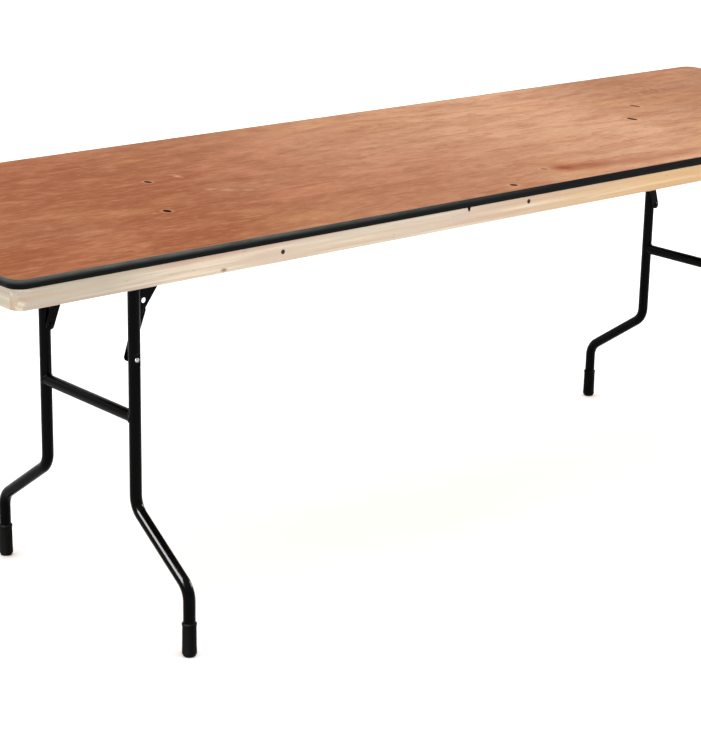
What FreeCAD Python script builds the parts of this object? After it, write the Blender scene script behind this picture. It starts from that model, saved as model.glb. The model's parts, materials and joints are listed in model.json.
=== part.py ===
import FreeCAD, Part
import math
import os

# Folding banquet table with a plywood top and two wishbone leg frames.
# Millimetres. X runs along the table, Y across it, Z up from the floor.
# The origin is on the floor under the middle of the top.
# Left is the -X end, front is the -Y long side. Each corner's hardware is
# modelled once, at the left front corner, and mirrored to the other three.

V = FreeCAD.Vector
X_DIR = V(1, 0, 0)
Y_DIR = V(0, 1, 0)
Z_DIR = V(0, 0, 1)
ORIGIN = V(0, 0, 0)

# Whole table
table_length = 2438.4
table_width = 762.0
table_height = 762.0

# Plywood top
ply_thickness = 15.9
ply_corner_radius = 25.0

# Vinyl T-moulding around the plywood
band_bulge = 3.0
band_shoulder = 0.8
band_spine_depth = 8.0
band_spine_thickness = 1.8
band_fit = 0.2

# Pine rails under the rim
rail_depth = 35.0
rail_width = 19.0
rail_setback = 1.2
rail_chamfer = 1.5

# Pine cleats across the underside
cleat_width = 19.0
cleat_depth = 30.0
hinge_to_cleat = 60.0

# Leg frames: steel tube, welded
frame_inset = 388.0
leg_half_spacing = 142.0
foot_half_spacing = 300.0
upper_bend_height = 234.0
lower_bend_height = 125.0
bend_radius = 42.0
bend_steps = 4
tube_radius = 11.1
tube_wall = 1.5
weld_gap = 0.3
cross_bar_drop = 108.0

# Foot caps
cap_height = 64.0
cap_wall = 2.2
cap_sole = 5.0
cap_fit = 0.2

# Hinges of the frames
hinge_plate_thickness = 3.0
hinge_clearance = 0.5
strap_thickness = 2.0
strap_width = 26.0
strap_flange = 18.0
strap_to_leg = 6.0
hinge_tube_overhang = 4.0

# Knee braces: a lower link on the leg, an upper link under the top
brace_drop = 222.5
lower_link_length = 84.0
knee_slack = 2.5
link_thickness = 3.0
leg_end_radius = 8.5
knee_end_radius = 11.0
anchor_end_radius = 12.0
tube_to_link = 6.0
link_to_link = 2.8
link_play = 0.3

# The upper link's belly on the leg's side, and the hole through it
belly_radius = 14.0
belly_from_knee = 38.0
belly_aside = 6.0
hole_radius = 5.0
hole_from_knee = 19.0

# Rivets of the braces
rivet_radius = 3.5
rivet_proud = 1.5
rivet_fit = 0.1
spacer_radius = 5.5

# Anchor brackets of the braces
anchor_thickness = 2.5
anchor_radius = 12.0
anchor_flange = 30.0

# One overrun for every cut that runs out of a face
overrun = 5.0

# Places that follow from the sizes
ply_length = table_length - 2 * band_bulge
ply_width = table_width - 2 * band_bulge
ply_under = table_height - ply_thickness
ply_middle = table_height - ply_thickness / 2
rim_length = ply_length - 2 * rail_setback
rim_width = ply_width - 2 * rail_setback
rim_corner = ply_corner_radius - rail_setback
inner_width = rim_width - 2 * rail_width

frame_x = frame_inset - table_length / 2
leg_y = -leg_half_spacing
foot_y = -foot_half_spacing
plate_under = ply_under - hinge_plate_thickness
hinge_z = plate_under - hinge_clearance - tube_radius
strap_inner = tube_radius + hinge_clearance
strap_outer = strap_inner + strap_thickness
strap_reach = strap_outer + strap_flange
strap_near_y = leg_y - tube_radius - strap_to_leg
strap_y = strap_near_y - strap_width / 2
hinge_tube_half = -strap_near_y + strap_width + hinge_tube_overhang

# Brace geometry. Open, the links reach from the leg to the anchor with a
# little slack, so the knee rests just past dead centre, on the leg's side.
# Folded, both links lie along the leg, with the knee beyond the leg pivot.
brace_sum = 2 * lower_link_length + brace_drop - knee_slack
anchor_reach = (brace_sum ** 2 - brace_drop ** 2) / (2 * brace_sum)
upper_link_length = lower_link_length + brace_drop - anchor_reach
pivot_distance = math.hypot(anchor_reach, brace_drop)
knee_along = (lower_link_length ** 2 - upper_link_length ** 2
              + pivot_distance ** 2) / (2 * pivot_distance)
knee_aside = math.sqrt(lower_link_length ** 2 - knee_along ** 2)

lower_link_y = leg_y + tube_radius + tube_to_link
upper_link_y = lower_link_y + link_thickness + link_to_link
anchor_y = upper_link_y + link_thickness + link_play

leg_pivot = V(frame_x, 0, hinge_z - brace_drop)
anchor_pivot = V(frame_x + anchor_reach, 0, hinge_z)
brace_line = (anchor_pivot - leg_pivot).normalize()
brace_aside = Y_DIR.cross(brace_line) * -1
knee_pivot = leg_pivot + brace_line * knee_along + brace_aside * knee_aside

# The cross bar stays below the leg pivots, clear of the folded knee.
cross_bar_z = leg_pivot.z - cross_bar_drop


def at_y(point, y):
    """The point moved to the plane at this Y."""
    return V(point.x, y, point.z)


def cylinder(start, direction, radius, length):
    return Part.makeCylinder(radius, length, start, direction)


def block(low, high):
    size = high - low
    return Part.makeBox(size.x, size.y, size.z, low)


def rounded_prism(length, width, radius, low_z, high_z):
    """An upright prism on a rounded rectangle about the Z axis."""
    half_length = length / 2
    half_width = width / 2
    body = block(V(-half_length, -half_width, low_z), V(half_length, half_width, high_z))
    upright = [edge for edge in body.Edges if abs(edge.tangentAt(edge.FirstParameter).z) > 0.5]
    return body.makeFillet(radius, upright)


def place(shape, end, side):
    """Mirror the left front piece to the named corner."""
    if end == "right":
        shape = shape.mirror(ORIGIN, X_DIR)
    if side == "back":
        shape = shape.mirror(ORIGIN, Y_DIR)
    return shape


def save(name, shape):
    shape.exportStep("parts/" + name + ".step")


def bent_rod(points, radius, turn_radius):
    """A round bar along straight runs, with a lofted bend at each inner point."""
    runs = [(b - a).normalize() for a, b in zip(points, points[1:])]
    circle = Part.Wire(Part.makeCircle(radius, points[0], runs[0]))
    pieces = []
    here = points[0]
    for run, next_run, corner in zip(runs, runs[1:], points[1:]):
        turn = run.getAngle(next_run)
        tangent = turn_radius * math.tan(turn / 2)
        bend_start = corner - run * tangent
        pieces.append(Part.Face(circle).extrude(bend_start - here))
        circle = circle.translated(bend_start - here)
        axis = run.cross(next_run).normalize()
        centre = bend_start + axis.cross(run) * turn_radius
        step = math.degrees(turn) / bend_steps
        arc = [circle.rotated(centre, axis, step * count) for count in range(bend_steps + 1)]
        pieces.append(Part.makeLoft(arc, True, True))
        circle = arc[-1]
        here = corner + next_run * tangent
    pieces.append(Part.Face(circle).extrude(points[-1] - here))
    return pieces[0].fuse(pieces[1:]).removeSplitter()


def tube(start, end):
    """A straight piece of the frame's tube."""
    run = end - start
    bar = cylinder(start, run, tube_radius, run.Length)
    return bar.cut(cylinder(start - run, run, tube_radius - tube_wall, 3 * run.Length))


def rivet(centre, start_y, end_y):
    """A plain rivet shank along Y."""
    return cylinder(at_y(centre, start_y), Y_DIR, rivet_radius, end_y - start_y)


def link_plate(lobes, y):
    """A stamped link at this Y. Tangents join its lobes, circles listed anticlockwise in the XZ plane."""
    after = lobes[1:] + lobes[:1]
    leaving = []
    for (centre, radius), (next_centre, next_radius) in zip(lobes, after):
        run = next_centre - centre
        heading = math.atan2(run.z, run.x)
        leaving.append(heading - math.acos((radius - next_radius) / run.Length))

    def on_circle(lobe, angle):
        centre, radius = lobe
        return at_y(centre + V(math.cos(angle), 0, math.sin(angle)) * radius, y)

    edges = []
    for index, lobe in enumerate(lobes):
        turn = (leaving[index] - leaving[index - 1]) % (2 * math.pi)
        arrives, middle, leaves = [on_circle(lobe, leaving[index] - turn * share) for share in (1, 0.5, 0)]
        edges.append(Part.Arc(arrives, middle, leaves).toShape())
        edges.append(Part.makeLine(leaves, on_circle(after[index], leaving[index])))
    return Part.Face(Part.Wire(edges)).extrude(Y_DIR * link_thickness)


def hole_through(centre, y, radius):
    """The tool that makes a hole through the link at this Y."""
    return cylinder(at_y(centre, y - overrun), Y_DIR, radius, link_thickness + 2 * overrun)


# Top
def plywood_top():
    slab = rounded_prism(ply_length, ply_width, ply_corner_radius, ply_under, table_height)
    depth = band_spine_depth + band_fit
    half = band_spine_thickness / 2 + band_fit
    low = ply_middle - half
    high = ply_middle + half
    whole = rounded_prism(ply_length + 2 * overrun, ply_width + 2 * overrun,
                          ply_corner_radius + overrun, low, high)
    core = rounded_prism(ply_length - 2 * depth, ply_width - 2 * depth,
                         ply_corner_radius - depth, low - overrun, high + overrun)
    return slab.cut(whole.cut(core))


def edge_band():
    """T-moulding: a crowned face outside the plywood and a spine in its groove.

    The spine is notched away where the moulding turns a corner.
    """
    half = ply_thickness / 2
    spine = band_spine_thickness / 2
    face_y = -ply_width / 2
    seat = band_fit

    def at(out, up):
        return V(0, face_y - out, ply_middle + up)

    crown = Part.Arc(at(band_shoulder, half), at(band_bulge, 0), at(band_shoulder, -half)).toShape()

    def section(back):
        """The crowned face, closed by the points of its back, from the bottom up."""
        points = [at(band_shoulder, -half)] + back + [at(band_shoulder, half)]
        return Part.Face(Part.Wire([crown] + Part.makePolygon(points).Edges))

    plain = section([at(seat, -half), at(seat, half)])
    barbed = section([at(seat, -half), at(seat, -spine), at(-band_spine_depth, -spine),
                      at(-band_spine_depth, spine), at(seat, spine), at(seat, half)])
    straight_x = ply_length / 2 - ply_corner_radius
    straight_y = ply_width / 2 - ply_corner_radius
    front = barbed.translated(-X_DIR * straight_x).extrude(2 * X_DIR * straight_x)
    corner_axis = V(straight_x, -straight_y, 0)
    corner = plain.translated(X_DIR * straight_x).revolve(corner_axis, Z_DIR, 90)
    turned = barbed.translated(X_DIR * straight_x).rotated(corner_axis, Z_DIR, 90)
    right = turned.extrude(2 * Y_DIR * straight_y)
    half_ring = [front, corner, right, corner.mirror(ORIGIN, X_DIR)]
    other_half = [front.mirror(ORIGIN, Y_DIR), right.mirror(ORIGIN, X_DIR),
                  corner.mirror(ORIGIN, Y_DIR),
                  corner.mirror(ORIGIN, X_DIR).mirror(ORIGIN, Y_DIR)]
    pieces = half_ring + other_half
    return pieces[0].fuse(pieces[1:]).removeSplitter()


def rim_prism():
    """The outer form of the rails: rounded corners and a chamfer along the foot."""
    low = ply_under - rail_depth
    body = rounded_prism(rim_length, rim_width, rim_corner, low, ply_under)
    foot = [edge for edge in body.Edges if edge.BoundBox.ZMax < low + rail_chamfer / 2]
    return body.makeChamfer(rail_chamfer, foot)


def rails():
    rim = rim_prism()
    low = ply_under - rail_depth
    outer_x = rim_length / 2
    outer_y = rim_width / 2
    front = rim.common(block(V(-outer_x, -outer_y, low), V(outer_x, rail_width - outer_y, ply_under)))
    left = rim.common(block(V(-outer_x, rail_width - outer_y, low),
                            V(rail_width - outer_x, outer_y - rail_width, ply_under)))
    return {"front_rail": front, "back_rail": front.mirror(ORIGIN, Y_DIR),
            "left_end_rail": left, "right_end_rail": left.mirror(ORIGIN, X_DIR)}


def cleat(centre_x):
    half = cleat_width / 2
    low = V(centre_x - half, -inner_width / 2, ply_under - cleat_depth)
    high = V(centre_x + half, inner_width / 2, ply_under)
    return block(low, high)


# Frame hinges
def hinge_plate():
    half = strap_width / 2
    return block(V(frame_x - strap_reach, strap_y - half, plate_under),
                 V(frame_x + strap_reach, strap_y + half, ply_under))


def hinge_strap():
    """A strap bent round the hinge tube, with a flange each side."""
    y = strap_y - strap_width / 2
    flange_z = plate_under - strap_thickness

    def at(x, z):
        return V(frame_x + x, y, z)

    outer = Part.Arc(at(-strap_outer, hinge_z), at(0, hinge_z - strap_outer), at(strap_outer, hinge_z))
    inner = Part.Arc(at(strap_inner, hinge_z), at(0, hinge_z - strap_inner), at(-strap_inner, hinge_z))
    left = Part.makePolygon([at(-strap_inner, hinge_z), at(-strap_inner, plate_under),
                             at(-strap_reach, plate_under), at(-strap_reach, flange_z),
                             at(-strap_outer, flange_z), at(-strap_outer, hinge_z)])
    right = Part.makePolygon([at(strap_outer, hinge_z), at(strap_outer, flange_z),
                              at(strap_reach, flange_z), at(strap_reach, plate_under),
                              at(strap_inner, plate_under), at(strap_inner, hinge_z)])
    outline = Part.Wire(left.Edges + [outer.toShape()] + right.Edges + [inner.toShape()])
    return Part.Face(outline).extrude(Y_DIR * strap_width)


# Leg frames
def hinge_tube():
    return tube(V(frame_x, -hinge_tube_half, hinge_z), V(frame_x, hinge_tube_half, hinge_z))


def leg():
    """A wishbone leg: a straight run, a kink outwards and a foot, coped at the hinge tube."""
    points = [V(frame_x, leg_y, hinge_z), V(frame_x, leg_y, upper_bend_height),
              V(frame_x, foot_y, lower_bend_height), V(frame_x, foot_y, cap_sole)]
    crossing = cylinder(V(frame_x, -hinge_tube_half, hinge_z), Y_DIR,
                        tube_radius + weld_gap, 2 * hinge_tube_half)
    return bent_rod(points, tube_radius, bend_radius).cut(crossing)


def cross_bar():
    """The bar between the legs, coped at both."""
    bar = cylinder(V(frame_x, leg_y, cross_bar_z), Y_DIR, tube_radius, -2 * leg_y)
    copes = [cylinder(V(frame_x, y, 0), Z_DIR, tube_radius + weld_gap, hinge_z)
             for y in (leg_y, -leg_y)]
    return bar.cut(copes)


def foot_cap():
    """A cup pushed on the tube's end."""
    foot = V(frame_x, foot_y, 0)
    bore = tube_radius + cap_fit
    cup = cylinder(foot, Z_DIR, bore + cap_wall, cap_height)
    return cup.cut(cylinder(foot + Z_DIR * cap_sole, Z_DIR, bore, cap_height))


def leg_spacer():
    """The bush on the leg, between its tube and the brace's lower link."""
    return cylinder(at_y(leg_pivot, leg_y + tube_radius), Y_DIR, spacer_radius, tube_to_link - link_play)


# Knee braces
def lower_link():
    plate = link_plate([(leg_pivot, leg_end_radius), (knee_pivot, knee_end_radius)], lower_link_y)
    return plate.cut(hole_through(knee_pivot, lower_link_y, rivet_radius + rivet_fit))


def upper_link():
    """The link under the top, with a belly towards the leg. It carries the knee's rivet."""
    along = (anchor_pivot - knee_pivot).normalize()
    aside = along.cross(Y_DIR)
    belly = knee_pivot + along * belly_from_knee + aside * belly_aside
    plate = link_plate([(knee_pivot, knee_end_radius), (anchor_pivot, anchor_end_radius),
                        (belly, belly_radius)], upper_link_y)
    holes = [hole_through(anchor_pivot, upper_link_y, rivet_radius + rivet_fit),
             hole_through(knee_pivot + along * hole_from_knee, upper_link_y, hole_radius)]
    return plate.cut(holes).fuse(rivet(knee_pivot, lower_link_y - rivet_proud, upper_link_y))


def anchor_bracket():
    """An angle: a flange under the plywood and a round ear that carries its rivet."""
    half = anchor_radius
    x = anchor_pivot.x
    ear = block(V(x - half, anchor_y, anchor_pivot.z), V(x + half, anchor_y + anchor_thickness, ply_under))
    round_end = cylinder(at_y(anchor_pivot, anchor_y), Y_DIR, anchor_radius, anchor_thickness)
    flange = block(V(x - half, anchor_y, ply_under - anchor_thickness),
                   V(x + half, anchor_y + anchor_flange, ply_under))
    pin = rivet(anchor_pivot, upper_link_y - rivet_proud, anchor_y)
    return ear.fuse([round_end, flange, pin]).removeSplitter()


def build():
    os.makedirs("parts", exist_ok=True)

    save("plywood_top", plywood_top())
    save("edge_band", edge_band())
    for name, shape in rails().items():
        save(name, shape)
    save("left_cross_cleat", cleat(frame_x - hinge_to_cleat))
    save("right_cross_cleat", cleat(hinge_to_cleat - frame_x))
    save("centre_cleat", cleat(0))

    across = {"hinge_tube": hinge_tube(), "cross_bar": cross_bar()}
    pairs = {"hinge_plates": hinge_plate(), "hinge_straps": hinge_strap(), "foot_caps": foot_cap(),
             "leg_spacers": leg_spacer(), "anchor_brackets": anchor_bracket()}
    corners = {"leg": leg(), "upper_link": upper_link(), "lower_link": lower_link()}
    for end in ("left", "right"):
        for name, shape in across.items():
            save(end + "_" + name, place(shape, end, "front"))
        for name, shape in pairs.items():
            both = [place(shape, end, side) for side in ("front", "back")]
            save(end + "_" + name, Part.makeCompound(both))
        for side in ("front", "back"):
            for name, shape in corners.items():
                save(end + "_" + side + "_" + name, place(shape, end, side))


build()
print("hinge axis at x %.2f, z %.2f" % (frame_x, hinge_z))
print("leg pivot at z %.2f" % leg_pivot.z)
print("anchor pivot at x %.2f" % anchor_pivot.x)
print("knee pivot at x %.2f, z %.2f" % (knee_pivot.x, knee_pivot.z))
print("upper link length %.2f" % upper_link_length)
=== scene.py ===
import json
import math
import random

import bpy
from mathutils import Matrix, Vector

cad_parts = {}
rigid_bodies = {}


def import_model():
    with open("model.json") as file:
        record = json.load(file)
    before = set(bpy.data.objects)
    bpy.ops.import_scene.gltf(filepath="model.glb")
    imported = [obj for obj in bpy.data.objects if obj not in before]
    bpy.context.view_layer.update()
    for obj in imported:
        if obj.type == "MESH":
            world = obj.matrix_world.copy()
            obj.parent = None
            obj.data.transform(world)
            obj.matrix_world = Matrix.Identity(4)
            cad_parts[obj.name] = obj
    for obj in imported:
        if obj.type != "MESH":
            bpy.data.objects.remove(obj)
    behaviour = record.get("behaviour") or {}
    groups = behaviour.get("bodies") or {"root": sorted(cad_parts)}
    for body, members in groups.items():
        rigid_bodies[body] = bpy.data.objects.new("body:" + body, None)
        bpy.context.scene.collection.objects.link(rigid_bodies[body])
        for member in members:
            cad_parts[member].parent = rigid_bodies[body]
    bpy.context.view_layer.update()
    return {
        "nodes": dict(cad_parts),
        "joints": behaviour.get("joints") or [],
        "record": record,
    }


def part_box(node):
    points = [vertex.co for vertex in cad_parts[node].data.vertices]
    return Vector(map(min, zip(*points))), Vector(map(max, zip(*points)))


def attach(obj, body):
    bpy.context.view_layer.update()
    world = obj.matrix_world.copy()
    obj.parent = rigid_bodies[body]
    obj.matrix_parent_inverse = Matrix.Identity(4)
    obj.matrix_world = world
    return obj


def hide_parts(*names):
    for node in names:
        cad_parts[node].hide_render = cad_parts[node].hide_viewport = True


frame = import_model()

# A folding banquet table. Metres, in the frame's own axes: X along the table,
# Y across it, Z up. Left is the -X end and front is the -Y long side.

Y_AXIS = Vector((0, 1, 0))
Z_AXIS = Vector((0, 0, 1))
ENDS = ("left", "right")
SIDES = ("front", "back")

# Leg frames, as the frame's solids have them
upper_bend_height = 0.234
lower_bend_height = 0.125
bend_radius = 0.042
tube_radius = 0.0111

# Links of the knee braces
leg_end_radius = 0.0085
knee_end_radius = 0.011
anchor_end_radius = 0.012
belly_radius = 0.014
belly_from_knee = 0.038
belly_aside = 0.006
hole_radius = 0.005
hole_from_knee = 0.019
plate_edge = 0.0004

# Rivets that carry the braces on the legs, and the flats pressed into the tubes under their heads
rivet_radius = 0.0035
collar_radius = 0.0055
collar_sunk = 0.0012
collar_play = 0.0003
flat_reach = 0.0140
flat_depth = 0.0032

# Heads of the rivets, screws and nails: radius and height
leg_rivet_head = (0.0046, 0.0026)
leg_rivet_tail = (0.0056, 0.0022)
outer_brace_head = (0.0062, 0.0022)
inner_brace_head = (0.0062, 0.0024)
strap_screw_head = (0.0038, 0.0022)
bracket_screw_head = (0.0034, 0.0020)
nail_head = (0.0042, 0.0014)

# Straps over the hinge bars and brackets at the braces' anchors, as the frame's solids have them
strap_width = 0.026
strap_thickness = 0.002
strap_flange = 0.018
bracket_thickness = 0.0025
bracket_flange = 0.030
bracket_gap = 0.0003

# Places read from the frame
joints = {joint["name"]: Vector(joint["pos_m"]) for joint in frame["joints"]}
hinge_z = joints["left_frame_fold"].z
ply_low, ply_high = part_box("plywood_top")
band_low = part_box("edge_band")[0]
rail_low, rail_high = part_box("front_rail")


def srgb(red, green, blue):
    """A colour given as 0 to 255 display values, as the shaders want it."""
    def linear(value):
        value = value / 255
        return value / 12.92 if value <= 0.04045 else ((value + 0.055) / 1.055) ** 2.4
    return (linear(red), linear(green), linear(blue), 1.0)


# Shader graphs
class Graph:
    """One material and short ways to add and link its nodes."""

    def __init__(self, name):
        self.material = bpy.data.materials.new(name)
        self.material.use_nodes = True
        self.tree = self.material.node_tree
        self.shader = self.tree.nodes["Principled BSDF"]
        self.place = self.add("TexCoord").outputs["Object"]

    def feed(self, socket, value):
        """Links a node's output to the socket, or sets the socket to a constant."""
        if isinstance(value, bpy.types.NodeSocket):
            self.tree.links.new(value, socket)
        else:
            socket.default_value = value

    def add(self, kind, inputs=(), **settings):
        """A shader node with its settings and its fed inputs."""
        node = self.tree.nodes.new("ShaderNode" + kind)
        for name, value in settings.items():
            setattr(node, name, value)
        for key, value in dict(inputs).items():
            self.feed(node.inputs[key], value)
        return node

    def axis(self, name):
        """One of the object's coordinates."""
        return self.add("SeparateXYZ", {0: self.place}).outputs[name]

    def facing(self, name):
        """One part of the surface's normal."""
        return self.add("SeparateXYZ", {0: self.add("NewGeometry").outputs["Normal"]}).outputs[name]

    def stretched(self, scale):
        """The object's coordinates, scaled along each axis."""
        return self.add("VectorMath", {0: self.place, 1: scale}, operation="MULTIPLY").outputs[0]

    def noise(self, scale, detail=3.0, roughness=0.5, distortion=0.0):
        """Noise over the object's coordinates, with a scale for each axis."""
        node = self.add("TexNoise", {"Vector": self.stretched(scale), "Scale": 1.0, "Detail": detail,
                                     "Roughness": roughness, "Distortion": distortion})
        return node.outputs["Fac"]

    def ramp(self, value, low, high, start=0.0, end=1.0):
        """Value's range from low to high, stretched to start to end and held there."""
        node = self.add("MapRange", {"Value": value, "From Min": low, "From Max": high,
                                     "To Min": start, "To Max": end})
        return node.outputs["Result"]

    def math(self, operation, first, second):
        """Two values through one operation."""
        return self.add("Math", {0: first, 1: second}, operation=operation).outputs[0]

    def blend(self, share, first, second):
        """The first colour where share is zero and the second where it is one."""
        node = self.add("Mix", data_type="RGBA")
        self.feed(node.inputs["Factor"], share)
        self.feed(node.inputs["A"], first)
        self.feed(node.inputs["B"], second)
        return node.outputs["Result"]

    def spot(self, centre, reach, hardness):
        """One inside an ellipse of these half sizes about a point, and zero outside it."""
        scale = tuple(1 / size for size in reach)
        away = self.add("VectorMath", {0: self.place, 1: centre}, operation="SUBTRACT").outputs[0]
        scaled = self.add("VectorMath", {0: away, 1: scale}, operation="MULTIPLY").outputs[0]
        length = self.add("VectorMath", {0: scaled}, operation="LENGTH").outputs["Value"]
        return self.ramp(length, hardness, 1.0, 1.0, 0.0)

    def finish(self, color, roughness, **sockets):
        """The material, with its colour, roughness and other sockets fed."""
        self.feed(self.shader.inputs["Base Color"], color)
        self.feed(self.shader.inputs["Roughness"], roughness)
        for name, value in sockets.items():
            self.feed(self.shader.inputs[name.replace("_", " ")], value)
        return self.material

    def bump(self, height, strength, distance):
        """Relief that follows height, up to distance in metres."""
        node = self.add("Bump", {"Height": height, "Strength": strength, "Distance": distance})
        self.feed(self.shader.inputs["Normal"], node.outputs["Normal"])


# Marks in the wood, by their places: centre, half sizes and strength
top_z = ply_high.z
mark_depth = 0.010
red_streaks = [
    (Vector((0.078, -0.290, top_z)), (0.042, 0.040, mark_depth), 0.95),
    (Vector((0.135, -0.302, top_z)), (0.075, 0.040, mark_depth), 0.70),
    (Vector((0.215, -0.316, top_z)), (0.120, 0.034, mark_depth), 0.45),
    (Vector((0.350, -0.334, top_z)), (0.180, 0.030, mark_depth), 0.35),
]
light_flecks = [
    (Vector((-0.571, 0.084, top_z)), (0.010, 0.024, mark_depth)),
    (Vector((-0.590, -0.042, top_z)), (0.016, 0.012, mark_depth)),
    (Vector((-0.566, -0.064, top_z)), (0.022, 0.012, mark_depth)),
    (Vector((-0.535, -0.088, top_z)), (0.014, 0.010, mark_depth)),
]
dark_dots = [
    (Vector((-0.645, 0.073, top_z)), (0.0070, 0.0085, mark_depth), 0.9),
    (Vector((-0.754, -0.136, top_z)), (0.0080, 0.0085, mark_depth), 1.0),
    (Vector((-0.112, -0.343, top_z)), (0.0080, 0.0075, mark_depth), 0.95),
    (Vector((0.037, -0.276, top_z)), (0.0080, 0.0075, mark_depth), 0.55),
    (Vector((0.811, 0.192, top_z)), (0.0072, 0.0140, mark_depth), 0.5),
    (Vector((0.880, 0.192, top_z)), (0.0072, 0.0140, mark_depth), 0.6),
    (Vector((0.688, 0.078, top_z)), (0.0076, 0.0140, mark_depth), 0.8),
    (Vector((0.566, -0.024, top_z)), (0.0085, 0.0130, mark_depth), 0.95),
]

# Along the front rail: nails by X and Z, a knot, and where the moulding's ends meet
rail_nails = ((-0.690, 0.7285), (-0.105, 0.7364))
rail_knot = Vector((-0.815, rail_low.y, 0.7166))
rail_knot_reach = (0.0090, 0.02, 0.0045)
band_joint_x = -0.2585


# Materials
def plywood_material():
    """Reddish brown veneer, paler to the right partly as a painted sheen, with clouds, a mottle, a faint
    figure and marks.
    """
    graph = Graph("plywood")
    along = graph.axis("X")
    cloud = graph.noise((1.6, 2.6, 1.0), detail=3.0, roughness=0.5)
    tint = graph.noise((2.6, 4.2, 1.0), detail=3.0, roughness=0.6, distortion=0.7)
    figure = graph.add("TexWave", {"Vector": graph.stretched((0.34, 1.0, 1.0)), "Scale": 3.2,
                                   "Distortion": 16.0, "Detail": 5.0, "Detail Scale": 1.6,
                                   "Detail Roughness": 0.62},
                       wave_type="BANDS", bands_direction="Y", wave_profile="SAW").outputs["Fac"]
    mottle = graph.noise((9.0, 32.0, 1.0), detail=4.0, roughness=0.6, distortion=0.4)
    fleck = graph.noise((34.0, 120.0, 1.0), detail=4.0, roughness=0.62, distortion=0.3)
    streak = graph.noise((5.0, 170.0, 1.0), detail=5.0, roughness=0.65)
    pores = graph.noise((60.0, 900.0, 1.0), detail=2.0)

    red_brown = srgb(125, 68, 33)
    tan = srgb(174, 132, 101)
    golden = srgb(156, 106, 66)
    pink = srgb(184, 122, 90)
    deep = srgb(120, 60, 32)
    pale = srgb(206, 157, 120)
    dark = srgb(84, 42, 24)
    right_brown = srgb(132, 87, 56)
    streak_red = srgb(120, 48, 12)
    fleck_light = srgb(204, 164, 126)
    halo_light = srgb(208, 160, 126)
    dot_black = srgb(12, 3, 3)
    underside = srgb(196, 158, 116)

    # Redder at the left end and paler tan to the right: partly the veneer's own tone, partly a painted sheen
    # for the glare towards the far end
    lit = graph.math("ADD", graph.ramp(along, -0.75, 0.5), graph.ramp(cloud, 0.3, 0.7, -0.2, 0.2))
    base = graph.blend(lit, red_brown, tan)
    base = graph.blend(graph.ramp(along, 0.5, 0.85, 0.0, 0.8), base, right_brown)
    base = graph.blend(graph.ramp(tint, 0.52, 0.68, 0.0, 0.45), base, golden)
    base = graph.blend(graph.ramp(tint, 0.46, 0.34, 0.0, 0.25), base, pink)
    base = graph.blend(graph.ramp(figure, 0.45, 1.0, 0.0, 0.32), base, deep)
    base = graph.blend(graph.ramp(mottle, 0.5, 0.8, 0.0, 0.2), base, pale)
    base = graph.blend(graph.ramp(mottle, 0.46, 0.26, 0.0, 0.42), base, deep)
    base = graph.blend(graph.ramp(fleck, 0.5, 0.8, 0.0, 0.24), base, pale)
    base = graph.blend(graph.ramp(fleck, 0.47, 0.28, 0.0, 0.36), base, deep)
    base = graph.blend(graph.ramp(streak, 0.52, 0.75, 0.0, 0.26), base, dark)
    base = graph.blend(graph.ramp(pores, 0.6, 0.72, 0.0, 0.35), base, dark)
    for centre, reach, share in red_streaks:
        mark = graph.spot(centre, reach, 0.2)
        uneven = graph.math("MULTIPLY", mark, graph.ramp(fleck, 0.3, 0.5, 0.65, 1.0))
        base = graph.blend(graph.math("MULTIPLY", uneven, share), base, streak_red)
    for centre, reach in light_flecks:
        mark = graph.spot(centre, reach, 0.0)
        patchy = graph.math("MULTIPLY", mark, graph.ramp(fleck, 0.35, 0.6, 0.15, 0.5))
        base = graph.blend(patchy, base, fleck_light)
    rough = graph.ramp(streak, 0.3, 0.8, 0.42, 0.55)
    for centre, reach, share in dark_dots:
        halo = graph.spot(centre, tuple(size * 2.0 for size in reach), 0.3)
        base = graph.blend(graph.math("MULTIPLY", halo, 0.35), base, halo_light)
        mark = graph.spot(centre, (reach[0], reach[1] * 1.25, reach[2]), 0.8)
        dot = graph.math("MULTIPLY", mark, share)
        base = graph.blend(dot, base, dot_black)
        rough = graph.math("MAXIMUM", rough, dot)
    below = graph.ramp(graph.facing("Z"), -0.5, -0.4, 1.0, 0.0)
    base = graph.blend(graph.math("MULTIPLY", below, 0.6), base, underside)
    relief = graph.math("ADD", graph.math("MULTIPLY", streak, 0.6), pores)
    graph.bump(relief, strength=0.12, distance=0.0004)
    return graph.finish(base, rough, Specular_IOR_Level=0.015)


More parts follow.
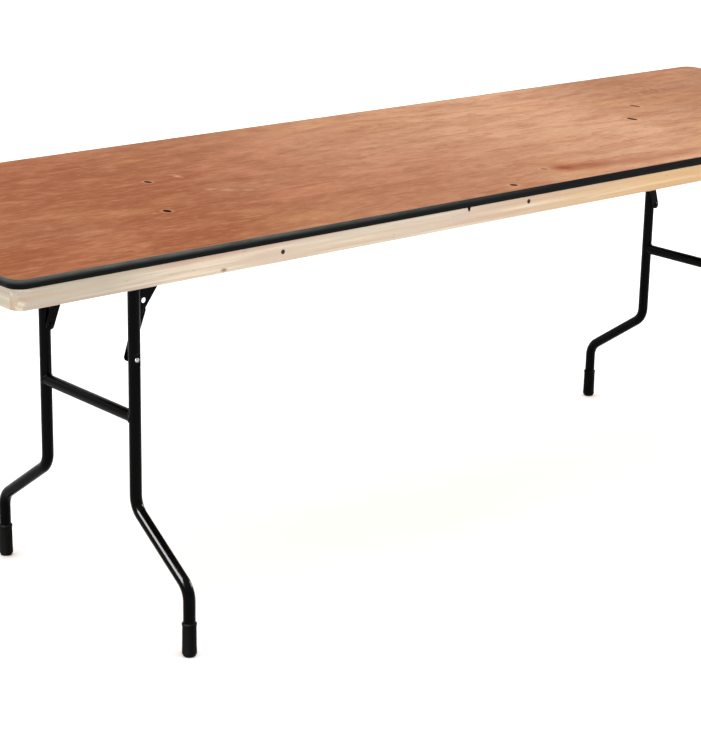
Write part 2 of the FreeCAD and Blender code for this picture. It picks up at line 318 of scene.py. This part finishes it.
def pine_material(name, grain):
    """Pale pine with pink and straw streaks along the grain, knots and a faint sheen."""
    graph = Graph(name)

    def across(along_scale, across_scale):
        return tuple(along_scale if axis == grain else across_scale for axis in range(3))

    along = graph.axis("X")
    streak = graph.noise(across(1.8, 90.0), detail=5.0, roughness=0.62)
    rings = graph.noise(across(0.8, 34.0), detail=3.0, roughness=0.45, distortion=0.4)
    patch = graph.noise(across(2.6, 14.0), detail=3.0, roughness=0.6)
    fleck = graph.noise(across(60.0, 520.0), detail=1.0)
    pink = srgb(180, 154, 137)
    cream = srgb(188, 180, 156)
    left_grey = srgb(146, 144, 133)
    middle_cream = srgb(186, 172, 156)
    right_straw = srgb(196, 152, 82)
    ring_brown = srgb(178, 140, 108)
    streak_pink = srgb(172, 124, 104)
    streak_light = srgb(222, 208, 186)
    fleck_brown = srgb(122, 80, 54)
    knot_brown = srgb(84, 56, 38)

    base = graph.blend(graph.ramp(patch, 0.4, 0.6), pink, cream)
    base = graph.blend(graph.ramp(along, -0.85, -1.05, 0.0, 0.5), base, left_grey)
    base = graph.blend(graph.ramp(along, -0.9, -0.6, 0.0, 0.6), base, middle_cream)
    base = graph.blend(graph.ramp(along, -0.3, 0.25, 0.0, 0.6), base, right_straw)
    base = graph.blend(graph.ramp(rings, 0.5, 0.62, 0.0, 0.45), base, ring_brown)
    base = graph.blend(graph.ramp(streak, 0.5, 0.72, 0.0, 0.55), base, streak_pink)
    base = graph.blend(graph.ramp(streak, 0.46, 0.3, 0.0, 0.6), base, streak_light)
    base = graph.blend(graph.ramp(fleck, 0.68, 0.76, 0.0, 0.35), base, fleck_brown)
    knot = graph.spot(rail_knot, rail_knot_reach, 0.2)
    base = graph.blend(graph.math("MULTIPLY", knot, 0.75), base, knot_brown)
    relief = graph.math("ADD", streak, graph.math("MULTIPLY", fleck, 0.4))
    graph.bump(relief, strength=0.15, distance=0.0005)
    return graph.finish(base, graph.ramp(streak, 0.3, 0.7, 0.46, 0.6), Specular_IOR_Level=0.15)


def band_material():
    """Black vinyl with a drawn texture along its run, with a painted highlight in grey where it faces up,
    strongest at the left end.
    """
    graph = Graph("edge_band")
    drawn = graph.noise((9.0, 9.0, 700.0), detail=3.0)
    scuff = graph.noise((22.0, 22.0, 160.0), detail=5.0, roughness=0.7)
    grain = graph.noise((1500.0, 1500.0, 1500.0), detail=2.0)
    # Painted highlight: grey base colour on the upward-facing part of the moulding, fading out from the left
    # end to the middle and broken up by noise
    lit = graph.ramp(graph.facing("Z"), -0.02, 0.3)
    near = graph.ramp(graph.axis("X"), -0.75, 0.0, 1.0, 0.04)
    painted_highlight = graph.math("MULTIPLY", graph.math("MULTIPLY", lit, near), graph.ramp(scuff, 0.3, 0.65, 0.5, 1.0))
    base = graph.blend(painted_highlight, srgb(4, 5, 5), srgb(78, 82, 78))
    relief = graph.math("ADD", drawn, graph.math("MULTIPLY", grain, 0.5))
    graph.bump(relief, strength=0.12, distance=0.0003)
    return graph.finish(base, graph.ramp(scuff, 0.4, 0.7, 0.52, 0.66), Specular_IOR_Level=0.06)


def coated_material(name, dark, light, roughness, level):
    """Powder coat: fine orange peel, a slightly uneven gloss and faint handling marks."""
    graph = Graph(name)
    peel = graph.noise((900.0, 900.0, 900.0), detail=2.0)
    uneven = graph.noise((30.0, 30.0, 30.0), detail=4.0, roughness=0.65)
    marks = graph.noise((70.0, 70.0, 12.0), detail=5.0, roughness=0.75)
    base = graph.blend(graph.ramp(marks, 0.62, 0.78, 0.0, 0.6), dark, light)
    graph.bump(peel, strength=0.06, distance=0.0002)
    return graph.finish(base, graph.ramp(uneven, 0.3, 0.7, roughness - 0.03, roughness + 0.06),
                        Specular_IOR_Level=level)


def rubber_material():
    """Matt black rubber, dusty and scuffed towards the floor."""
    graph = Graph("foot_rubber")
    dust = graph.noise((160.0, 160.0, 60.0), detail=5.0, roughness=0.7)
    near_floor = graph.ramp(graph.axis("Z"), 0.0, 0.015, 1.0, 0.08)
    worn = graph.math("MULTIPLY", near_floor, graph.ramp(dust, 0.45, 0.75))
    base = graph.blend(worn, srgb(3, 3, 3), srgb(44, 42, 40))
    graph.bump(graph.noise((700.0, 700.0, 700.0)), strength=0.2, distance=0.0004)
    return graph.finish(base, 0.6, Specular_IOR_Level=0.03)


def zinc_material():
    """Zinc plate: dull bright metal, faintly mottled."""
    graph = Graph("zinc")
    mottle = graph.noise((260.0, 260.0, 260.0), detail=4.0, roughness=0.6)
    base = graph.blend(graph.ramp(mottle, 0.35, 0.7), srgb(176, 178, 180), srgb(132, 134, 138))
    graph.bump(mottle, strength=0.15, distance=0.0002)
    return graph.finish(base, graph.ramp(mottle, 0.3, 0.7, 0.3, 0.48), Metallic=1.0)


def floor_material():
    """A plain pale floor with the faintest unevenness."""
    graph = Graph("pale_floor")
    tone = graph.noise((2.0, 2.0, 2.0), detail=2.0)
    base = graph.blend(graph.ramp(tone, 0.3, 0.7), srgb(250, 250, 250), srgb(247, 247, 247))
    return graph.finish(base, 0.9, Specular_IOR_Level=0.1)


materials = {
    "plywood": plywood_material(),
    "pine_along": pine_material("pine_along", 0),
    "pine_across": pine_material("pine_across", 1),
    "edge_band": band_material(),
    "black_steel": coated_material("black_steel", srgb(2, 2, 3), srgb(10, 10, 12),
                                   roughness=0.16, level=0.035),
    "foot_rubber": rubber_material(),
    "zinc": zinc_material(),
    "dark_nail": coated_material("dark_nail", srgb(26, 20, 16), srgb(56, 44, 36),
                                 roughness=0.5, level=0.2),
}
ACROSS_NODES = ("left_end_rail", "right_end_rail", "left_cross_cleat", "right_cross_cleat", "centre_cleat")
slot_of = {entry["node"]: entry["material_slot"] for entry in frame["record"]["subparts"]}
for node, piece in frame["nodes"].items():
    chosen = slot_of[node]
    if chosen == "pine":
        chosen = "pine_across" if node in ACROSS_NODES else "pine_along"
    for slot in piece.material_slots:
        slot.material = materials[chosen]


# Meshes
sharp_angle = math.radians(38)


def dress(name, mesh, material, body):
    """The mesh as a piece with its material, carried by a body."""
    mesh.materials.clear()
    mesh.materials.append(materials[material])
    mesh.polygons.foreach_set("use_smooth", [True] * len(mesh.polygons))
    mesh.set_sharp_from_angle(angle=sharp_angle)
    piece = bpy.data.objects.new(name, mesh)
    bpy.context.scene.collection.objects.link(piece)
    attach(piece, body)
    return piece


def add_piece(name, shape, material, body):
    """Points and faces as a piece of its own."""
    verts, faces = shape
    mesh = bpy.data.meshes.new(name)
    mesh.from_pydata([tuple(vert) for vert in verts], [], faces)
    mesh.update()
    return dress(name, mesh, material, body)


def joined(shapes):
    """Several shapes, each a pair of points and faces, as one."""
    verts = []
    faces = []
    for more_verts, more_faces in shapes:
        start = len(verts)
        verts += more_verts
        faces += [tuple(index + start for index in face) for face in more_faces]
    return verts, faces


def skin(rows, sides, closed=False):
    """Quads between rows of points, each row a loop, with flat ends unless the rows close up."""
    count = len(rows)
    verts = [point for row in rows for point in row]
    faces = []
    for index in range(count if closed else count - 1):
        here = index * sides
        there = (index + 1) % count * sides
        for side in range(sides):
            after = (side + 1) % sides
            faces.append((here + side, here + after, there + after, there + side))
    if not closed:
        faces.append(tuple(reversed(range(sides))))
        faces.append(tuple(range(len(verts) - sides, len(verts))))
    return verts, faces


def ring(centre, along, across, radius, sides):
    """Points round a circle square to along, from the across direction on."""
    other = along.cross(across)
    return [centre + (across * math.cos(turn) + other * math.sin(turn)) * radius
            for turn in (2 * math.pi * step / sides for step in range(sides))]


def swept(path, radii, sides, closed=False):
    """A round bar along a path, with a radius at each point."""
    count = len(path)
    rows = []
    across = None
    for index, point in enumerate(path):
        before = path[index - 1] if index or closed else point
        after = path[(index + 1) % count] if index < count - 1 or closed else point
        along = (after - before).normalized()
        if across is None:
            across = along.orthogonal().normalized()
        across = (across - along * across.dot(along)).normalized()
        rows.append(ring(point, along, across, radii[index], sides))
    return skin(rows, sides, closed)


def turned(profile, base, axis, sides):
    """A profile of (radius, height) points, turned about an axis through base."""
    across = axis.orthogonal().normalized()
    rows = [ring(base + axis * height, axis, across, radius, sides) for radius, height in profile]
    return skin(rows, sides)


def dome(base, axis, radius, height, sides=28):
    """A rivet's head: a short rim and a rounded crown."""
    seat_radius = radius * 0.96
    rim = height * 0.25
    crown_degrees = (18, 36, 54, 70, 84)
    profile = [(seat_radius, 0.0), (radius, rim / 2), (radius, rim)]
    profile += [(radius * math.cos(turn), rim + (height - rim) * math.sin(turn))
                for turn in (math.radians(angle) for angle in crown_degrees)]
    return turned(profile, base, axis, sides)


def screw(base, axis, radius, height, spin):
    """A pan head with a cross recess."""
    sides = 32
    rings = 10
    crown_power = 4
    rim = height * 0.15
    recess = height * 0.7
    arm_width = radius * 0.16
    arm_length = radius * 0.62
    across = Matrix.Rotation(spin, 3, axis) @ axis.orthogonal().normalized()
    other = axis.cross(across)
    rows = [ring(base, axis, across, radius, sides)]
    for step in range(rings, 0, -1):
        away = radius * step / rings
        lift = height * (1 - (step / rings) ** crown_power) ** 0.5 if step < rings else rim
        row = []
        for side in range(sides):
            turn = 2 * math.pi * side / sides
            x = away * math.cos(turn)
            y = away * math.sin(turn)
            inside = min(abs(x), abs(y)) < arm_width and max(abs(x), abs(y)) < arm_length
            row.append(base + across * x + other * y + axis * (lift - (recess if inside else 0)))
        rows.append(row)
    return skin(rows, sides)


# Legs: smooth bars in place of the solids, which have few steps in their bends
bend_steps = 14
flat_steps = 16
leg_sides = 56


def arc(before, corner, after, radius, steps):
    """Points round the corner between two straight runs."""
    inward = (corner - before).normalized()
    outward = (after - corner).normalized()
    turn = inward.angle(outward)
    start = corner - inward * radius * math.tan(turn / 2)
    axis = inward.cross(outward).normalized()
    centre = start + axis.cross(inward) * radius
    return [centre + Matrix.Rotation(turn * step / steps, 3, axis) @ (start - centre)
            for step in range(steps + 1)]


def leg_corners(end, side):
    """The hinge, both bends and the foot of a leg, on its centre line."""
    hinge = joints[end + "_frame_fold"]
    caps_low, caps_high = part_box(end + "_foot_caps")
    leg_low, leg_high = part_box(f"{end}_{side}_leg")
    cap_radius = (caps_high.x - caps_low.x) / 2
    foot_y = (caps_high.y - cap_radius) * (-1 if side == "front" else 1)
    leg_y = leg_high.y - tube_radius if side == "front" else leg_low.y + tube_radius
    return [Vector((hinge.x, leg_y, hinge_z)), Vector((hinge.x, leg_y, upper_bend_height)),
            Vector((hinge.x, foot_y, lower_bend_height)), Vector((hinge.x, foot_y, leg_low.z))]


def leg_tube(end, side):
    """A bent tube, pressed flat where the brace's rivet goes through."""
    top, upper, lower, foot = leg_corners(end, side)
    rivet = rivet_place(end)
    outward = -1 if side == "front" else 1
    path = [top]
    path += [Vector((top.x, top.y, rivet.y + flat_reach * (1 - 2 * step / flat_steps)))
             for step in range(flat_steps + 1)]
    path += arc(top, upper, lower, bend_radius, bend_steps)
    path += arc(upper, lower, foot, bend_radius, bend_steps) + [foot]
    verts, faces = swept(path, [tube_radius] * len(path), leg_sides)
    for vert in verts:
        away = math.hypot(vert.x - rivet.x, vert.z - rivet.y) / flat_reach
        if away < 1:
            ease = min(1, 3 * (1 - away))
            pressed = flat_depth * ease ** 2 * (3 - 2 * ease)
            over = (vert.y - top.y) * outward - (tube_radius - pressed)
            vert.y -= max(0, over) * outward
    solid = f"{end}_{side}_leg"
    leg = add_piece(solid + "_tube", (verts, faces), "black_steel", end + "_leg_frame")
    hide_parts(solid)


def brace_rivets(end):
    """The collars and zinc rivets that carry the braces' lower links on the legs."""
    rivet_sides = 28
    rivet = rivet_place(end)
    collars = []
    rivets = []
    for side in SIDES:
        inward = Y_AXIS if side == "front" else -Y_AXIS
        leg_y = leg_corners(end, side)[0].y
        link_low, link_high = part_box(f"{end}_{side}_lower_link")
        link_outer = link_low.y if side == "front" else link_high.y
        thickness = link_high.y - link_low.y
        seat = Vector((rivet.x, leg_y, rivet.y)) + inward * (tube_radius - collar_sunk)
        collar = abs(link_outer - seat.y) - collar_play
        shank = collar + thickness + collar_play
        profile = [(collar_radius - plate_edge, 0), (collar_radius, plate_edge),
                   (collar_radius, collar - plate_edge), (collar_radius - plate_edge, collar)]
        collars.append(turned(profile, seat, inward, rivet_sides))
        rivets.append(turned([(rivet_radius, 0), (rivet_radius, shank)], seat, inward, rivet_sides))
        head = Vector((rivet.x, leg_y, rivet.y)) - inward * (tube_radius - flat_depth)
        rivets.append(dome(head, -inward, *leg_rivet_head))
    body = end + "_leg_frame"
    collar_piece = add_piece(end + "_brace_collars", joined(collars), "black_steel", body)
    rivet_piece = add_piece(end + "_brace_rivets", joined(rivets), "zinc", body)
    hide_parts(end + "_leg_spacers")
    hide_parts(end + "_leg_spacers")


def rivet_place(end):
    """The brace rivet's X and Z on the legs."""
    low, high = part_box(end + "_leg_spacers")
    return Vector(((low.x + high.x) / 2, (low.z + high.z) / 2))


def weld_bead(centre, toward, other):
    """A rippled bead where a tube running toward meets one of the same size along other."""
    steps = 96
    bead_radius = 0.0019
    bead_sides = 10
    ripples = 26
    ripple_share = 0.14
    third = toward.cross(other)
    path = []
    radii = []
    for step in range(steps):
        turn = 2 * math.pi * step / steps
        path.append(centre + third * tube_radius * math.cos(turn) + other * tube_radius * math.sin(turn)
                    + toward * tube_radius * abs(math.sin(turn)))
        radii.append(bead_radius * (1 + ripple_share * math.sin(ripples * turn)))
    return swept(path, radii, bead_sides, closed=True)


def frame_welds(end):
    """Beads where the legs meet the hinge bar and the cross bar."""
    low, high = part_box(end + "_cross_bar")
    bar_z = (low.z + high.z) / 2
    beads = []
    for side in SIDES:
        top = leg_corners(end, side)[0]
        inward = Y_AXIS if side == "front" else -Y_AXIS
        beads.append(weld_bead(top, -Z_AXIS, Y_AXIS))
        beads.append(weld_bead(Vector((top.x, top.y, bar_z)), inward, Z_AXIS))
    add_piece(end + "_weld_beads", joined(beads), "black_steel", end + "_leg_frame")


def foot_caps(end):
    """Push-on caps: a rounded sole, a slight taper and a rolled lip round the tube."""
    low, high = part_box(end + "_foot_caps")
    radius = (high.x - low.x) / 2
    height = high.z - low.z
    lip = 0.0035
    grip = 0.0005
    cap_sides = 48
    # Each point is its distance in from the cap's widest, and its height
    sole = [(0.0040, 0.0), (0.0026, 0.0005), (0.0018, 0.0018), (0.0012, 0.0038), (0.0003, 0.0050),
            (0.0, 0.0064)]
    wall = [(0.0004, height * 0.3), (0.0007, height - 2 * lip)]
    rolled_lip = [(0.0004, height - 1.6 * lip), (0.0, height - 1.3 * lip), (0.0, height - 0.6 * lip),
                  (0.0005, height - 0.2 * lip), (0.0012, height)]
    profile = [(radius - inset, up) for inset, up in sole + wall + rolled_lip]
    profile.append((tube_radius - grip, height))
    feet = [leg_corners(end, side)[3] for side in SIDES]
    shape = joined([turned(profile, Vector((foot.x, foot.y, 0)), Z_AXIS, cap_sides) for foot in feet])
    caps = add_piece(end + "_rubber_feet", shape, "foot_rubber", end + "_leg_frame")
    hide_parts(end + "_foot_caps")


# Knee braces
def lobed_outline(lobes, steps=40):
    """Points round a plate whose lobes, circles listed anticlockwise in a plane, are joined by tangents."""
    leaving = []
    for index, (centre, radius) in enumerate(lobes):
        next_centre, next_radius = lobes[(index + 1) % len(lobes)]
        run = next_centre - centre
        leaving.append(math.atan2(run.y, run.x) - math.acos((radius - next_radius) / run.length))
    points = []
    for index, (centre, radius) in enumerate(lobes):
        turn = (leaving[index] - leaving[index - 1]) % (2 * math.pi)
        count = max(4, round(steps * turn / (2 * math.pi)))
        for step in range(count + 1):
            angle = leaving[index] - turn * (1 - step / count)
            points.append(centre + Vector((math.cos(angle), math.sin(angle))) * radius)
    return points


def round_outline(centre, radius, steps=32):
    """Points round a circle in a plane."""
    return [centre + Vector((math.cos(angle), math.sin(angle))) * radius
            for angle in (2 * math.pi * step / steps for step in range(steps))]


def stamped_plate(name, outlines, near_y, far_y, material, body):
    """A plate in the XZ plane between two Y places, with softly rounded edges and holes."""
    curve = bpy.data.curves.new(name, "CURVE")
    curve.dimensions = "2D"
    curve.fill_mode = "BOTH"
    curve.extrude = (far_y - near_y) / 2 - plate_edge
    curve.bevel_depth = plate_edge
    curve.bevel_resolution = 2
    curve.offset = -plate_edge
    for outline in outlines:
        spline = curve.splines.new("POLY")
        spline.points.add(len(outline) - 1)
        spline.use_cyclic_u = True
        for point, place in zip(spline.points, outline):
            point.co = (place.x, place.y, 0, 1)
    flat = bpy.data.objects.new(name + "_outline", curve)
    mesh = bpy.data.meshes.new_from_object(flat)
    stood_up = Matrix.Rotation(math.radians(90), 4, "X")
    mesh.transform(Matrix.Translation((0, (near_y + far_y) / 2, 0)) @ stood_up)
    mesh.name = name
    bpy.data.objects.remove(flat)
    bpy.data.curves.remove(curve)
    return dress(name, mesh, material, body)


def brace(end, side):
    """Both links of a knee brace with their rivets' heads."""
    corner = f"{end}_{side}_"
    sign = -1 if side == "front" else 1
    mirror = 1 if end == "left" else -1
    lower_low, lower_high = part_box(corner + "lower_link")
    plate = lower_high.y - lower_low.y
    upper_low, upper_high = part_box(corner + "upper_link")
    upper_near = upper_high.y - plate if sign < 0 else upper_low.y
    upper_far = upper_high.y if sign < 0 else upper_low.y + plate

    def flat(place):
        return Vector((place.x, place.z))

    knee = flat(joints[corner + "knee"])
    anchor = flat(joints[corner + "brace_swing"])
    leg = rivet_place(end)
    along = (anchor - knee).normalized()
    aside = Vector((-along.y, along.x)) * mirror
    belly = knee + along * belly_from_knee + aside * belly_aside
    lower_lobes = [(leg, leg_end_radius), (knee, knee_end_radius)]
    upper_lobes = [(knee, knee_end_radius), (anchor, anchor_end_radius), (belly, belly_radius)]
    if mirror < 0:
        upper_lobes = [upper_lobes[0], upper_lobes[2], upper_lobes[1]]

    lower_body = corner + "brace_lower"
    upper_body = corner + "brace_upper"
    lower = stamped_plate(corner + "lower_link_plate", [lobed_outline(lower_lobes)],
                          lower_low.y, lower_high.y, "black_steel", lower_body)
    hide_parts(corner + "lower_link")
    hole = round_outline(knee + along * hole_from_knee, hole_radius)
    upper = stamped_plate(corner + "upper_link_plate", [lobed_outline(upper_lobes), hole],
                          upper_near, upper_far, "black_steel", upper_body)
    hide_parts(corner + "upper_link")

    inward = Y_AXIS * -sign

    def at(place, y):
        return Vector((place.x, y, place.y))

    link_outer = lower_low.y if sign < 0 else lower_high.y
    link_inner = lower_high.y if sign < 0 else lower_low.y
    brace_inner = upper_far if sign < 0 else upper_near
    brace_outer = upper_near if sign < 0 else upper_far
    bracket_inner = bracket_side_y(sign, brace_inner)
    shank_sides = 24
    shank = [(rivet_radius, 0.0), (rivet_radius, abs(brace_outer - link_outer))]
    knee_rivet = [dome(at(knee, link_outer), -inward, *outer_brace_head),
                  turned(shank, at(knee, link_outer), inward, shank_sides),
                  dome(at(knee, brace_inner), inward, *inner_brace_head)]
    add_piece(corner + "knee_rivet", joined(knee_rivet), "black_steel", upper_body)
    tail = dome(at(leg, link_inner), inward, *leg_rivet_tail)
    add_piece(corner + "leg_rivet_tail", tail, "black_steel", lower_body)
    anchor_rivet = [dome(at(anchor, brace_outer), -inward, *outer_brace_head),
                    dome(at(anchor, bracket_inner), inward, *inner_brace_head)]
    add_piece(corner + "anchor_rivet", joined(anchor_rivet), "black_steel", "table_top")


def bracket_side_y(sign, link_face):
    """The face of the bracket's ear away from the link."""
    return link_face - sign * (bracket_gap + bracket_thickness)


# Edge moulding
def edge_moulding():
    """A bullnose round the plywood in place of the solid band, a little squarer than half a circle."""
    corner_radius = 0.025
    corner_steps = 14
    face_steps = 18
    out_power = 0.85
    up_power = 0.92
    behind = 0.001
    bulge = ply_low.x - band_low.x
    middle = (ply_low.z + ply_high.z) / 2
    half = (ply_high.z - ply_low.z) / 2
    profile = []
    for step in range(face_steps + 1):
        angle = math.pi / 2 - math.pi * step / face_steps
        out = bulge * abs(math.cos(angle)) ** out_power
        up = half * math.copysign(abs(math.sin(angle)) ** up_power, math.sin(angle))
        profile.append((out, up))
    profile += [(-behind, behind / 4 - half), (-behind, half - behind / 4)]
    corner_x = ply_high.x - corner_radius
    corner_y = ply_high.y - corner_radius
    rows = []
    for quarter, (sign_x, sign_y) in enumerate([(1, 1), (-1, 1), (-1, -1), (1, -1)]):
        centre = Vector((sign_x * corner_x, sign_y * corner_y, middle))
        for step in range(corner_steps + 1):
            turn = math.pi / 2 * (quarter + step / corner_steps)
            outward = Vector((math.cos(turn), math.sin(turn), 0))
            rows.append([centre + outward * (corner_radius + out) + Z_AXIS * up for out, up in profile])
    shape = skin(rows, len(profile), closed=True)
    moulding = add_piece("edge_moulding", shape, "edge_band", "table_top")
    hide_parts("edge_band")


def band_joint():
    """Where the moulding's ends meet, its tail is tacked down on the rail."""
    tail_sides = 14
    tail_radii = [0.0028, 0.0022, 0.0008]
    # Each point by its distances aside, out from the rail's face and down from its top
    tail_points = [(0.0, 0.0004, 0.0), (0.0, 0.0006, 0.0035), (0.0008, 0.0002, 0.0075)]
    path = [Vector((band_joint_x + aside, rail_low.y - out, rail_high.z - down))
            for aside, out, down in tail_points]
    shape = swept(path, tail_radii, tail_sides)
    add_piece("band_joint_tail", shape, "edge_band", "table_top")


# Fasteners
def rail_nail_heads():
    """Nails through both long rails."""
    nail_sides = 20
    sink = 0.0004
    front_face = rail_low.y + sink
    back_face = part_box("back_rail")[1].y - sink
    heads = []
    for x, z in rail_nails:
        heads.append(dome(Vector((x, front_face, z)), -Y_AXIS, *nail_head, nail_sides))
        heads.append(dome(Vector((-x, back_face, z)), Y_AXIS, *nail_head, nail_sides))
    add_piece("rail_nails", joined(heads), "dark_nail", "table_top")


def underside_screws(end):
    """Pan-head screws of the hinge straps and the anchor brackets, each turned its own way."""
    seeds = {"left": 7, "right": 11}
    bracket_row_shares = (0.42, 0.78)
    draw = random.Random(seeds[end])
    strap_low, strap_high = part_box(end + "_hinge_straps")
    strap_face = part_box(end + "_hinge_plates")[0].z - strap_thickness
    bracket_low, bracket_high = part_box(end + "_anchor_brackets")
    bracket_face = bracket_high.z - bracket_thickness
    bracket_x = (bracket_low.x + bracket_high.x) / 2
    flange_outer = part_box(end + "_back_upper_link")[0].y - bracket_gap
    heads = []
    for sign in (-1, 1):
        y = sign * (strap_high.y - strap_width / 2)
        for x in (strap_low.x + strap_flange / 2, strap_high.x - strap_flange / 2):
            for shift in (-strap_width / 4, strap_width / 4):
                base = Vector((x, y + shift, strap_face))
                heads.append(screw(base, -Z_AXIS, *strap_screw_head, draw.uniform(0, math.pi)))
        for share in bracket_row_shares:
            y = sign * (flange_outer - bracket_flange * share)
            for shift in (-anchor_end_radius / 2, anchor_end_radius / 2):
                base = Vector((bracket_x + shift, y, bracket_face))
                heads.append(screw(base, -Z_AXIS, *bracket_screw_head, draw.uniform(0, math.pi)))
    add_piece(end + "_underside_screws", joined(heads), "zinc", "table_top")


for end in ENDS:
    for side in SIDES:
        leg_tube(end, side)
        brace(end, side)
    brace_rivets(end)
    frame_welds(end)
    foot_caps(end)
    underside_screws(end)
edge_moulding()
band_joint()
rail_nail_heads()


# Floor
floor_reach = 15.0
floor_corners = [(x * floor_reach, y * floor_reach, 0) for x, y in ((-1, -1), (1, -1), (1, 1), (-1, 1))]
floor =bpy.data.objects.new("floor", bpy.data.meshes.new("floor"))
floor.data.from_pydata(floor_corners, [], [(0, 1, 2, 3)])
floor.data.materials.append(floor_material())
bpy.context.scene.collection.objects.link(floor)

# An overcast studio: bright overhead and dimmer towards the horizon
sky_range = {"From Min": 0.25, "From Max": 0.6, "To Min": 1.12, "To Max": 1.95}
world = bpy.data.worlds.new("studio")
bpy.context.scene.world = world
world.use_nodes = True
sky_nodes = world.node_tree.nodes
sky_links = world.node_tree.links
direction = sky_nodes.new("ShaderNodeTexCoord")
height = sky_nodes.new("ShaderNodeSeparateXYZ")
strength = sky_nodes.new("ShaderNodeMapRange")
sky_links.new(direction.outputs["Generated"], height.inputs[0])
sky_links.new(height.outputs["Z"], strength.inputs["Value"])
for name, value in sky_range.items():
    strength.inputs[name].default_value = value
sky_links.new(strength.outputs["Result"], sky_nodes["Background"].inputs["Strength"])
sky_nodes["Background"].inputs["Color"].default_value = (1.0, 1.0, 1.0, 1.0)

# What the strips below light: the steel, zinc and rubber pieces
steelwork = bpy.data.collections.new("steelwork")
glinting = [materials[name] for name in ("black_steel", "zinc", "foot_rubber")]
for piece in bpy.context.scene.objects:
    if piece.type == "MESH" and piece.material_slots[0].material in glinting:
        steelwork.objects.link(piece)


def softbox(name, place, target, size, power):
    """A strip that shows as a gloss on the steelwork alone: the sky lights everything else."""
    lamp = bpy.data.lights.new(name, "AREA")
    lamp.shape = "RECTANGLE"
    lamp.size, lamp.size_y = size
    lamp.energy = power
    holder = bpy.data.objects.new(name, lamp)
    holder.visible_diffuse = False
    holder.light_linking.receiver_collection = steelwork
    holder.location = place
    holder.rotation_euler = (Vector(target) - Vector(place)).to_track_quat("-Z", "Y").to_euler()
    bpy.context.scene.collection.objects.link(holder)


softbox("key_strip", place=(-3.2, -0.25, 2.75), target=(-0.83, -0.22, 0.18), size=(1.4, 2.8), power=2600.0)
softbox("rim_strip", place=(3.5, -0.6, 1.25), target=(-0.83, -0.2, 0.2), size=(0.3, 1.0), power=300.0)

# Camera, fitted to the table's edges and legs in the photograph
photo_height = 750
focal_pixels = 2158.5
camera_place = Vector((-2.9170, -3.1047, 1.6221))
camera_yaw = 0.718
camera_pitch = 0.305
camera_roll = 0.020

forward = Vector((math.sin(camera_yaw) * math.cos(camera_pitch),
                  math.cos(camera_yaw) * math.cos(camera_pitch), -math.sin(camera_pitch)))
level = Vector((math.cos(camera_yaw), -math.sin(camera_yaw), 0))
upright = level.cross(forward)
right = level * math.cos(camera_roll) + upright * math.sin(camera_roll)
up = upright * math.cos(camera_roll) - level * math.sin(camera_roll)
camera = bpy.data.objects.new("camera", bpy.data.cameras.new("camera"))
camera.data.sensor_width = 36.0
camera.data.lens = focal_pixels / photo_height * camera.data.sensor_width
camera.data.clip_end = 100.0
camera.matrix_world = Matrix.Translation(camera_place) @ Matrix((right, up, -forward)).transposed().to_4x4()
bpy.context.scene.collection.objects.link(camera)
bpy.context.scene.camera = camera
bpy.context.scene.view_settings.view_transform = "Standard"
